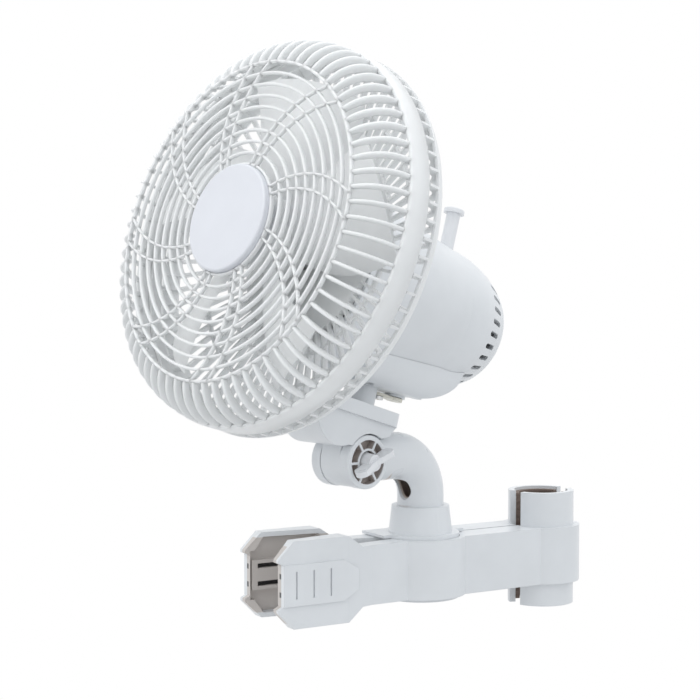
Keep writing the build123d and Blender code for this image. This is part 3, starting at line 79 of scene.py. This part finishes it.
# -------------------------------------------- node helpers
class Tree:
    """Small wrapper that fills the node tree of a material or a world."""

    def __init__(self, holder, output):
        holder.use_nodes = True
        self.nodes = holder.node_tree.nodes
        self.links = holder.node_tree.links
        self.nodes.clear()
        self.surface = self.nodes.new(output).inputs["Surface"]

    def put(self, socket, value):
        """Link a socket or set a constant."""
        if isinstance(value, bpy.types.NodeSocket):
            self.links.new(value, socket)
        else:
            socket.default_value = value

    def math(self, operation, first, second=0.0):
        """One step of arithmetic on sockets or constants."""
        node = self.nodes.new("ShaderNodeMath")
        node.operation = operation
        self.put(node.inputs[0], first)
        self.put(node.inputs[1], second)
        return node.outputs[0]

    def times(self, first, second):
        """Product of two values, or what two masks share."""
        return self.math("MULTIPLY", first, second)

    def absolute(self, value):
        """A value without its sign."""
        return self.math("ABSOLUTE", value)

    def ramp(self, value, low, high, out_low=0.0, out_high=1.0):
        """Map one range onto another, held at both ends."""
        node = self.nodes.new("ShaderNodeMapRange")
        self.put(node.inputs["Value"], value)
        node.inputs["From Min"].default_value = low
        node.inputs["From Max"].default_value = high
        node.inputs["To Min"].default_value = out_low
        node.inputs["To Max"].default_value = out_high
        return node.outputs[0]

    def above(self, value, edge, soft):
        """0 below the edge, 1 above it, with a soft change."""
        step = self.ramp(value, edge - soft, edge + soft)
        step.node.interpolation_type = "SMOOTHSTEP"
        return step

    def below(self, value, edge, soft):
        """1 below the edge, 0 above it, with a soft change."""
        return self.math("SUBTRACT", 1.0, self.above(value, edge, soft))

    def ground_rays(self):
        """1 for rays that show the white ground: the camera's, and those off gloss or through glass."""
        light_path = self.nodes.new("ShaderNodeLightPath")
        seen = light_path.outputs["Is Camera Ray"]
        for ray in ("Is Glossy Ray", "Is Transmission Ray"):
            seen = self.math("MAXIMUM", seen, light_path.outputs[ray])
        return seen

    def show(self, factor, first, second):
        """Put a mix of two shaders on the output."""
        mix = self.nodes.new("ShaderNodeMixShader")
        self.links.new(factor, mix.inputs[0])
        self.links.new(first, mix.inputs[1])
        self.links.new(second, mix.inputs[2])
        self.links.new(mix.outputs[0], self.surface)


class Finish(Tree):
    """Node tree of one material, with its Principled shader."""

    def __init__(self, name):
        self.material = bpy.data.materials.new(name)
        super().__init__(self.material, "ShaderNodeOutputMaterial")
        self.shader = self.nodes.new("ShaderNodeBsdfPrincipled")
        self.links.new(self.shader.outputs["BSDF"], self.surface)
        self.coords = self.nodes.new("ShaderNodeTexCoord").outputs["Object"]

    def set(self, name, value):
        """Link or set one of the shader's own sockets."""
        self.put(self.shader.inputs[name], value)

    def dot(self, point, way):
        """Signed distance of the surface point from a point along a direction."""
        offset = self.nodes.new("ShaderNodeVectorMath")
        offset.operation = "SUBTRACT"
        self.links.new(self.coords, offset.inputs[0])
        offset.inputs[1].default_value = point
        node = self.nodes.new("ShaderNodeVectorMath")
        node.operation = "DOT_PRODUCT"
        self.links.new(offset.outputs[0], node.inputs[0])
        node.inputs[1].default_value = way
        return node.outputs["Value"]

    def length(self, first, second):
        """Length of a vector, from its two components."""
        squares = self.math("ADD", self.times(first, first), self.times(second, second))
        return self.math("SQRT", squares)

    def noise(self, scale, detail=2.0, roughness=0.5):
        """Noise over the object's own coordinates; a larger scale gives finer spots."""
        node = self.nodes.new("ShaderNodeTexNoise")
        self.links.new(self.coords, node.inputs["Vector"])
        node.inputs["Scale"].default_value = scale
        node.inputs["Detail"].default_value = detail
        node.inputs["Roughness"].default_value = roughness
        return node.outputs[0]

    def blend(self, factor, first, second):
        """Colour mix; colours are constants or sockets."""
        node = self.nodes.new("ShaderNodeMix")
        node.data_type = "RGBA"
        self.put(node.inputs["Factor"], factor)
        self.put(node.inputs[6], first)
        self.put(node.inputs[7], second)
        return node.outputs[2]

    def waves(self, point, way, pitch):
        """Even ridges along a direction."""
        return self.math("SINE", self.times(self.dot(point, way), 2 * pi / pitch))

    def bump(self, height, distance, edge=0.0):
        """Surface relief; edge is the radius that rounds the solid's corners."""
        node = self.nodes.new("ShaderNodeBump")
        node.inputs["Strength"].default_value = 1.0
        node.inputs["Distance"].default_value = distance
        self.put(node.inputs["Height"], height)
        if edge:
            bevel = self.nodes.new("ShaderNodeBevel")
            bevel.samples = 4
            bevel.inputs["Radius"].default_value = edge
            self.links.new(bevel.outputs[0], node.inputs["Normal"])
        self.links.new(node.outputs[0], self.shader.inputs["Normal"])


FLOW_SCALE, GLOSS_SCALE, GRAIN_SCALE = 38.0, 90.0, 2600.0     # noises of the plastics
GRAIN_HIGH = 0.000012
PLASTIC_IOR = 1.49
LIGHT_SHARE, LIGHT_DEPTH = 0.45, 0.004       # light that enters a thin moulding, and how deep
SPECK_SCALE = 1500.0                         # noise of the rubber
RIB_PITCH, RIB_HIGH = 0.0035, 0.0002


def shade(colour, factor):
    """A colour made darker or lighter, with its alpha."""
    return tuple(c * factor for c in colour[:3]) + (1.0,)


def plastic(name, colour, rough, edge=0.0003, depth=0.0, zone=None):
    """Moulded plastic: faint flow clouds, fine mould grain, rounded edges, uneven gloss.

    depth lets light into thin mouldings; zone(finish) gives masks and the colours of the shade painted in
    them.
    """
    g = Finish(name)
    clouds = g.ramp(g.noise(FLOW_SCALE, detail=3.0, roughness=0.55), 0.3, 0.7)
    base = g.blend(clouds, shade(colour, 0.965), shade(colour, 1.02))
    if zone:
        for mask, tone in zone(g):
            base = g.blend(mask, base, tone)
    g.set("Base Color", base)
    g.set("Roughness", g.ramp(g.noise(GLOSS_SCALE), 0.25, 0.75, rough - 0.05, rough + 0.06))
    g.set("IOR", PLASTIC_IOR)
    if depth:
        g.set("Subsurface Weight", LIGHT_SHARE)
        g.set("Subsurface Radius", (1.0, 1.0, 1.0))
        g.set("Subsurface Scale", depth)
    g.bump(g.noise(GRAIN_SCALE, roughness=0.6), GRAIN_HIGH, edge)
    return g.material


def rubber(name, colour):
    """Speckled rubber with level ribs."""
    g = Finish(name)
    speck = g.noise(SPECK_SCALE, detail=3.0, roughness=0.7)
    g.set("Base Color", g.blend(g.ramp(speck, 0.35, 0.65), shade(colour, 0.8), shade(colour, 1.15)))
    g.set("Roughness", g.ramp(speck, 0.3, 0.7, 0.62, 0.85))
    ribs = g.waves(ORIGIN, UP, RIB_PITCH)
    g.bump(g.math("ADD", g.times(ribs, 0.6), g.times(speck, 0.4)), RIB_HIGH)
    return g.material


def metal(name, colour, rough, axis=None, pitch=0.0, spots=400.0, height=0.00001):
    """Metal with uneven gloss; axis and pitch give laminations or wire turns along a direction."""
    g = Finish(name)
    patch = g.noise(spots, detail=3.0, roughness=0.6)
    g.set("Base Color", g.blend(g.ramp(patch, 0.3, 0.7), shade(colour, 0.86), shade(colour, 1.08)))
    g.set("Metallic", 1.0)
    g.set("Roughness", g.ramp(patch, 0.25, 0.75, rough - 0.06, rough + 0.1))
    g.bump(g.waves(HEAD, axis, pitch) if axis else patch, height)
    return g.material


# -------------------------------------------- colours that change within one solid: painted shade in its recesses and slots
WHITE = (0.765, 0.785, 0.805)
# painted shade: warm grey for the ears' sunk faces, light brown for the pipe's bore
PAINTED_SUNK_SHADE = (0.46, 0.41, 0.385, 1.0)
PAINTED_BORE_SHADE = (0.60, 0.52, 0.46, 1.0)
# painted shade inside the grips, and painted shadow in their slots
PAINTED_GRIP_SHADE = (0.60, 0.56, 0.53, 1.0)
PAINTED_SLOT_SHADOW = (0.05, 0.05, 0.05, 1.0)

# an ear's sunk face: its outer edge and its floor from the hinge's middle, and its radius
SUNK_EDGE, SUNK_FLOOR, SUNK_R = 0.01225, 0.0082, 0.01026
# radius of the pipe's bore, and where its painted shade ends before the ears
BORE_R, BORE_FRONT = 0.0098, -0.008          # pipe's bore, and where its colour ends before the ears
GRIP_START = -0.1185                         # grips reach from here to the arms' end
GRIP_INSIDE, GRIP_RIM = 0.01655, 0.0176      # mid plane to a grip's inside, half height within its rim
# height and half height of the painted shadow in a grip's slots, and how far from the mid plane it starts
SLOT_HIGH, SLOT_HALF, SLOT_DEEP = 0.0042, 0.0012, 0.0150


def elbow_painted_shade(g):
    """Painted shade: warm grey in the ears' sunk faces, light brown in the pipe's bore."""
    along = g.absolute(g.dot(HINGE, ACROSS))
    radius = g.length(g.dot(HINGE, BACK), g.dot(HINGE, UP))
    sunk = g.times(g.below(along, SUNK_EDGE, 0.0002), g.below(radius, SUNK_R, 0.0001))
    sunk = g.times(sunk, g.above(along, SUNK_FLOOR, 0.0001))
    ring = g.length(g.dot(BEND, BACK), g.dot(BEND, UP))
    from_centre = g.length(g.math("SUBTRACT", ring, BEND_R), g.dot(BEND, ACROSS))
    bore = g.below(from_centre, BORE_R, 0.0004)
    bore = g.times(bore, g.above(g.dot(BEND, BACK), BORE_FRONT, 0.0005))
    return ((sunk, PAINTED_SUNK_SHADE), (bore, PAINTED_BORE_SHADE))


def arm_painted_shade(g):
    """Painted shade in warm grey inside the grips, behind their rims, and painted shadow in dark slots in
    it.
    """
    side = g.absolute(g.dot(ORIGIN, (1, 0, 0)))
    height = g.absolute(g.dot(ORIGIN, UP))
    handle = g.below(g.dot(ORIGIN, (0, 1, 0)), GRIP_START, 0.0003)
    inside = g.times(g.below(side, GRIP_INSIDE, 0.0002), handle)
    inside = g.times(inside, g.below(height, GRIP_RIM, 0.0002))
    from_slot = g.absolute(g.math("SUBTRACT", height, SLOT_HIGH))
    slots = g.times(inside, g.below(from_slot, SLOT_HALF, 0.0002))
    slots = g.times(slots, g.above(side, SLOT_DEEP, 0.0002))
    return ((inside, PAINTED_GRIP_SHADE), (slots, PAINTED_SLOT_SHADOW))


materials = {
    "shell_white": plastic("shell plastic", WHITE, 0.34),
    "cage_white": plastic("cage plastic", (0.85, 0.86, 0.86), 0.36, edge=0.0, depth=LIGHT_DEPTH),
    "knob_white": plastic("knob plastic", (0.83, 0.84, 0.86), 0.28),
    "cap_tint": plastic("cap plastic", (0.74, 0.755, 0.80), 0.42),
    "blade_white": plastic("blade plastic", (0.84, 0.85, 0.85), 0.32, edge=0.0, depth=LIGHT_DEPTH),
    "jaw_lining": rubber("jaw rubber", (0.20, 0.15, 0.125)),
    "inner_plastic": plastic("spacer plastic", (0.66, 0.68, 0.70), 0.45),
    "gear_plastic": plastic("gear acetal", (0.85, 0.82, 0.72), 0.38),
    "spring_steel": metal("spring wire", (0.38, 0.38, 0.39), 0.34),
    "zinc_steel": metal("zinc plate", (0.60, 0.61, 0.62), 0.28),
    "lamination": metal("laminations", (0.24, 0.24, 0.25), 0.45, FORWARD, 0.001, height=0.0001),
    "winding": metal("winding", (0.62, 0.28, 0.11), 0.35, HEAD_UP, 0.0009, height=0.00015),
    "cast_bracket": metal("die casting", (0.58, 0.59, 0.60), 0.42, spots=900.0, height=0.00004),
    "bush_metal": metal("sintered bronze", (0.58, 0.42, 0.20), 0.42, spots=1600.0, height=0.00003),
}
arm_white = plastic("arm plastic", WHITE, 0.32, zone=arm_painted_shade)
own_material = {
    "elbow_tube": plastic("elbow plastic", WHITE, 0.30, zone=elbow_painted_shade),
    "clip_base_arm": arm_white,
    "clip_moving_arm": arm_white,
}

slot_of = {entry["node"]: entry["material_slot"] for entry in frame["record"]["subparts"]}
for name, thing in frame["nodes"].items():
    for holder in thing.material_slots:
        holder.material = own_material.get(name, materials[slot_of[name]])

# -------------------------------------------- mesh helpers
STEPS_ROUND = 144         # sections of a full ring
STEPS_ALONG = 14          # points along a spoke or a slat
SIDES = 10                # corners of a bar's section
CORNER = 0.6              # below 1 the section is squarer than an ellipse


def arc(first, middle, last):
    """Points along the circle through three points of a plane."""
    a, b, c = complex(*first), complex(*middle), complex(*last)
    w = (c - a) / (b - a)
    centre = (b - a) * (w - abs(w) ** 2) / (2j * w.imag) + a
    turn = phase((c - centre) / (a - centre))
    half = phase((b - centre) / (a - centre))
    if (turn > 0) != (half > 0):
        turn -= 2 * pi * (1 if turn > 0 else -1)
    points = [centre + (a - centre) * rect(1.0, turn * i / (STEPS_ALONG - 1)) for i in range(STEPS_ALONG)]
    return [(p.real, p.imag) for p in points]


def heading(points, k):
    """Direction of a line of points at one of them."""
    before, after = points[max(k - 1, 0)], points[min(k + 1, STEPS_ALONG - 1)]
    return Vector((after[0] - before[0], after[1] - before[1])).normalized()


def rounded(wide, deep):
    """Section of a moulded bar: a rectangle with full round corners."""
    section = []
    for i in range(SIDES):
        u, v = cos(2 * pi * (i + 0.5) / SIDES), sin(2 * pi * (i + 0.5) / SIDES)
        section.append((copysign(abs(u) ** CORNER, u) * wide / 2, copysign(abs(v) ** CORNER, v) * deep / 2))
    return section


def add_object(name, data):
    """New object in the scene."""
    made = bpy.data.objects.new(name, data)
    scene.collection.objects.link(made)
    return made


class Moulding:
    """Closed bars and rings gathered into one mesh."""

    def __init__(self):
        self.points = []
        self.faces = []

    def bar(self, sections, closed=False):
        """Skin equal sections; closed joins the last to the first, otherwise both ends are capped."""
        start, around, count = len(self.points), len(sections[0]), len(sections)
        for section in sections:
            self.points.extend(section)
        for i in range(count if closed else count - 1):
            here, there = start + i * around, start + (i + 1) % count * around
            for j in range(around):
                k = (j + 1) % around
                self.faces.append((here + j, here + k, there + k, there + j))
        if not closed:
            end = start + (count - 1) * around
            self.faces.append(tuple(reversed(range(start, start + around))))
            self.faces.append(tuple(range(end, end + around)))

    def ring(self, profile):
        """Revolve a closed profile of radius and height."""
        sections = []
        for i in range(STEPS_ROUND):
            turn = 2 * pi * i / STEPS_ROUND
            sections.append([(r * cos(turn), r * sin(turn), z) for r, z in profile])
        self.bar(sections, closed=True)

    def piece(self, name, slot, node, place):
        """Make the object that stands for a node; place turns a point into the model's metres."""
        mesh = bpy.data.meshes.new(name)
        mesh.from_pydata([place(*point) for point in self.points], [], self.faces)
        tool = bmesh.new()
        tool.from_mesh(mesh)
        bmesh.ops.recalc_face_normals(tool, faces=tool.faces)
        tool.to_mesh(mesh)
        tool.free()
        for polygon in mesh.polygons:
            polygon.use_smooth = len(polygon.vertices) == 4
        mesh.materials.append(materials[slot])
        made = add_object(name, mesh)
        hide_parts(node)
        return made


# -------------------------------------------- front grille, in millimetres of the fan's frame
CAP_R = 24.5              # cap's seat, inside the first ring
RING_R = 73.0             # outside of the outermost ring
RING_COUNT = 10
RING_WIDE, RING_DEEP = 1.3, 2.2
GRILLE_FRONT = 99.5       # rings' front, ahead of the yaw axis
SPOKE_PAIRS = 8
SPOKE_FIRST = 29.5        # angle of the first pair at the cap
SPOKE_SPLIT = 4.5         # half the angle between the two spokes of a pair
SPOKE_SWIRL = 26.5        # degrees that a spoke turns from the cap to the outermost ring
SPOKE_HALFWAY = 0.42      # share of that turn at half way
SPOKE_WIDE, SPOKE_DEEP = 1.1, 2.0
SPOKE_PROUD = 0.15        # spokes stand this much ahead of the rings
SPOKE_INNER, SPOKE_OUTER = CAP_R + 0.3, RING_R - 0.4          # radii of its ends, inside the rings' bars
BAND_R, BAND_WALL = 88.8, 2.0
BAND_FRONT, BAND_REAR = 80.0, 69.0
BAND_EDGE = 0.5           # cut corners of the band
SLAT_COUNT, SLAT_THICK = 72, 1.6
SLAT_DEEP = 4.4           # depth of a slat at its middle
SLAT_EVEN = 0.55          # share of that depth that all of a slat has; the rest swells to its middle
# the slats' outer line, as height and radius: at the outermost ring, on the shoulder, at the band
SHOULDER = (
    (GRILLE_FRONT - 0.2, RING_R - 0.9),
    (GRILLE_FRONT - 6.3, RING_R + 10.6),
    (BAND_FRONT - 1.8, BAND_R - 0.9),
)


def add_rings(moulding):
    """Evenly spaced rings from the cap's seat outwards."""
    section = rounded(RING_WIDE, RING_DEEP)
    for i in range(RING_COUNT):
        radius = CAP_R + RING_WIDE / 2 + (RING_R - CAP_R - RING_WIDE) / (RING_COUNT - 1) * i
        moulding.ring([(radius + u, GRILLE_FRONT - RING_DEEP / 2 + v) for u, v in section])


def add_spoke(moulding, start):
    """Curved spoke from the cap's seat to the outermost ring, with start its angle at the cap."""
    stations = (
        (SPOKE_INNER, start),
        ((CAP_R + RING_R) / 2, start - SPOKE_SWIRL * SPOKE_HALFWAY),
        (SPOKE_OUTER, start - SPOKE_SWIRL),
    )
    line = arc(*[(radius * cos(radians(angle)), radius * sin(radians(angle))) for radius, angle in stations])
    middle = GRILLE_FRONT + SPOKE_PROUD - SPOKE_DEEP / 2
    section = rounded(SPOKE_WIDE, SPOKE_DEEP)
    sections = []
    for k, (x, y) in enumerate(line):
        way = heading(line, k)
        sections.append([(x - way.y * u, y + way.x * u, middle + v) for u, v in section])
    moulding.bar(sections)


def add_slat(moulding, turn):
    """Slat over the shoulder, from the outermost ring to the band, deepest at its middle."""
    line = arc(*SHOULDER)
    sections = []
    for k, (z, r) in enumerate(line):
        way = heading(line, k)
        # half a wave that begins and ends a little beyond the slat
        swell = sin(pi * (k + 1.5) / (STEPS_ALONG + 2))
        deep = SLAT_DEEP * (SLAT_EVEN + (1 - SLAT_EVEN) * swell)
        section = []
        for u, v in rounded(SLAT_THICK, deep):
            inward = v + deep / 2
            height, radius = z - way.y * inward, r + way.x * inward
            x, y = radius * cos(turn) - u * sin(turn), radius * sin(turn) + u * cos(turn)
            section.append((x, y, height))
        sections.append(section)
    moulding.bar(sections)


def add_band(moulding):
    """Smooth band round the cage, with cut corners."""
    inner = BAND_R - BAND_WALL
    moulding.ring([
        (BAND_R - BAND_EDGE, BAND_REAR), (BAND_R, BAND_REAR + BAND_EDGE),
        (BAND_R, BAND_FRONT - BAND_EDGE), (BAND_R - BAND_EDGE, BAND_FRONT),
        (inner + BAND_EDGE, BAND_FRONT), (inner, BAND_FRONT - BAND_EDGE),
        (inner, BAND_REAR + BAND_EDGE), (inner + BAND_EDGE, BAND_REAR),
    ])


def front_grille():
    """Rings and swirled spokes in one flat face, slats over the shoulder, and the band."""
    moulding = Moulding()
    add_rings(moulding)
    for pair in range(SPOKE_PAIRS):
        for shift in (-SPOKE_SPLIT, SPOKE_SPLIT):
            add_spoke(moulding, SPOKE_FIRST + 360.0 / SPOKE_PAIRS * pair + shift)
    for i in range(SLAT_COUNT):
        add_slat(moulding, 2 * pi * i / SLAT_COUNT)
    add_band(moulding)
    made = moulding.piece(
        "grille_front_moulding", "cage_white", "front_grille",
        lambda x, y, z: HEAD + (ACROSS * x + HEAD_UP * y + FORWARD * z) * MM,
    )
    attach(made, "head")


front_grille()

# -------------------------------------------- torsion spring, in millimetres about the arms' pivot
WIRE_R, WIRE_SIDES = 1.0, 12
COIL_R, COIL_TURNS, COIL_PITCH, COIL_STEPS = 10.8, 3.5, 2.6, 84
COIL_LOW = -9.143         # lower end of the coil
COIL_LEG = 25.0


def torsion_spring():
    """Wound wire about the arms' pivot, with a straight leg at each end."""
    slope = COIL_PITCH / (2 * pi * COIL_R)
    run = 1 / (1 + slope ** 2) ** 0.5
    line = []
    for i in range(COIL_STEPS + 1):
        turn = 2 * pi * COIL_TURNS * i / COIL_STEPS
        spot = Vector((COIL_R * cos(turn), COIL_R * sin(turn), COIL_LOW + COIL_PITCH * turn / (2 * pi)))
        line.append((spot, Vector((-sin(turn), cos(turn), slope)) * run))
    (first, first_way), (last, last_way) = line[0], line[-1]
    line.insert(0, (first - first_way * COIL_LEG, first_way))
    line.append((last + last_way * COIL_LEG, last_way))
    sections = []
    for spot, way in line:
        outward = Vector((way.y, -way.x, 0.0)).normalized()
        above = outward.cross(way)
        angles = [2 * pi * j / WIRE_SIDES for j in range(WIRE_SIDES)]
        sections.append([tuple(spot + (outward * cos(a) + above * sin(a)) * WIRE_R) for a in angles])
    wire = Moulding()
    wire.bar(sections)
    made = wire.piece(
        "torsion_spring_wire", "spring_steel", "torsion_spring",
        lambda x, y, z: HUB + Vector((x, y, z)) * MM,
    )
    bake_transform(made)


torsion_spring()

# -------------------------------------------- floor and backdrop
FLOOR_HALF, FLOOR_LEVEL = 9.0, -1.1
floor_mesh = bpy.data.meshes.new("floor")
floor_mesh.from_pydata(
    [(x * FLOOR_HALF, y * FLOOR_HALF, FLOOR_LEVEL) for x, y in ((-1, -1), (1, -1), (1, 1), (-1, 1))],
    [],
    [(0, 1, 2, 3)],
)
floor = add_object("floor", floor_mesh)
paint = Finish("floor paint")
paint.set("Base Color", paint.blend(paint.noise(3.0), (0.68, 0.68, 0.68, 1), (0.72, 0.72, 0.72, 1)))
paint.set("Roughness", 0.7)
glow = paint.nodes.new("ShaderNodeEmission")
glow.inputs["Color"].default_value = (1, 1, 1, 1)
paint.show(paint.ground_rays(), paint.shader.outputs[0], glow.outputs[0])
floor_mesh.materials.append(paint.material)

# the studio is brighter overhead than underneath, and changes between two slopes of the view's direction
SKY_LOW, SKY_HIGH = (0.38, 0.40, 0.42, 1), (0.95, 0.975, 1.0, 1)
SLOPE_LOW, SLOPE_HIGH = -0.7, 0.6
studio = bpy.data.worlds.new("studio")
scene.world = studio
air = Tree(studio, "ShaderNodeOutputWorld")
view_way = air.nodes.new("ShaderNodeSeparateXYZ")
air.links.new(air.nodes.new("ShaderNodeTexCoord").outputs["Generated"], view_way.inputs[0])
shading = air.nodes.new("ShaderNodeValToRGB")
air.links.new(air.ramp(view_way.outputs["Z"], SLOPE_LOW, SLOPE_HIGH), shading.inputs["Fac"])
for stop, position, colour in zip(shading.color_ramp.elements, (0.0, 1.0), (SKY_LOW, SKY_HIGH)):
    stop.position = position
    stop.color = colour
sky = air.nodes.new("ShaderNodeBackground")
air.links.new(shading.outputs["Color"], sky.inputs["Color"])
backdrop = air.nodes.new("ShaderNodeBackground")
backdrop.inputs["Color"].default_value = (1, 1, 1, 1)
for background in (sky, backdrop):
    background.inputs["Strength"].default_value = 1.0
air.show(air.ground_rays(), sky.outputs[0], backdrop.outputs[0])


# -------------------------------------------- lamps and camera
AIM = Vector((0.0, -0.09, 0.10))


def area(name, place, size, power, colour=(1, 1, 1)):
    """Square soft box aimed at the fan."""
    lamp = bpy.data.lights.new(name, "AREA")
    lamp.size = size
    lamp.energy = power
    lamp.color = colour
    holder = add_object(name, lamp)
    holder.location = place
    holder.rotation_euler = (AIM - Vector(place)).to_track_quat("-Z", "Y").to_euler()


area("key", (0.15, -1.35, 0.95), 0.9, 5.0, (1.0, 0.99, 0.98))
area("side", (1.25, 0.25, 0.55), 0.8, 0.9, (0.93, 0.97, 1.0))
area("top", (0.0, 0.1, 1.3), 1.0, 4.0)

FOCAL, PICTURE = 1700.0, 700.0               # focal length and the photograph's side, in pixels
SENSOR = 36.0
AZIMUTH, PITCH = radians(59.0), radians(3.0)
CAMERA_PLACE = (0.6821, -0.5223, 0.1461)
camera_data = bpy.data.cameras.new("camera")
camera_data.sensor_width = SENSOR
camera_data.lens = FOCAL / PICTURE * SENSOR
camera_data.clip_start = 0.05
camera = add_object("camera", camera_data)
camera.location = CAMERA_PLACE
look = Vector((-sin(AZIMUTH) * cos(PITCH), cos(AZIMUTH) * cos(PITCH), -sin(PITCH)))
camera.rotation_euler = look.to_track_quat("-Z", "Y").to_euler()
scene.camera = camera
scene.view_settings.view_transform = "Standard"
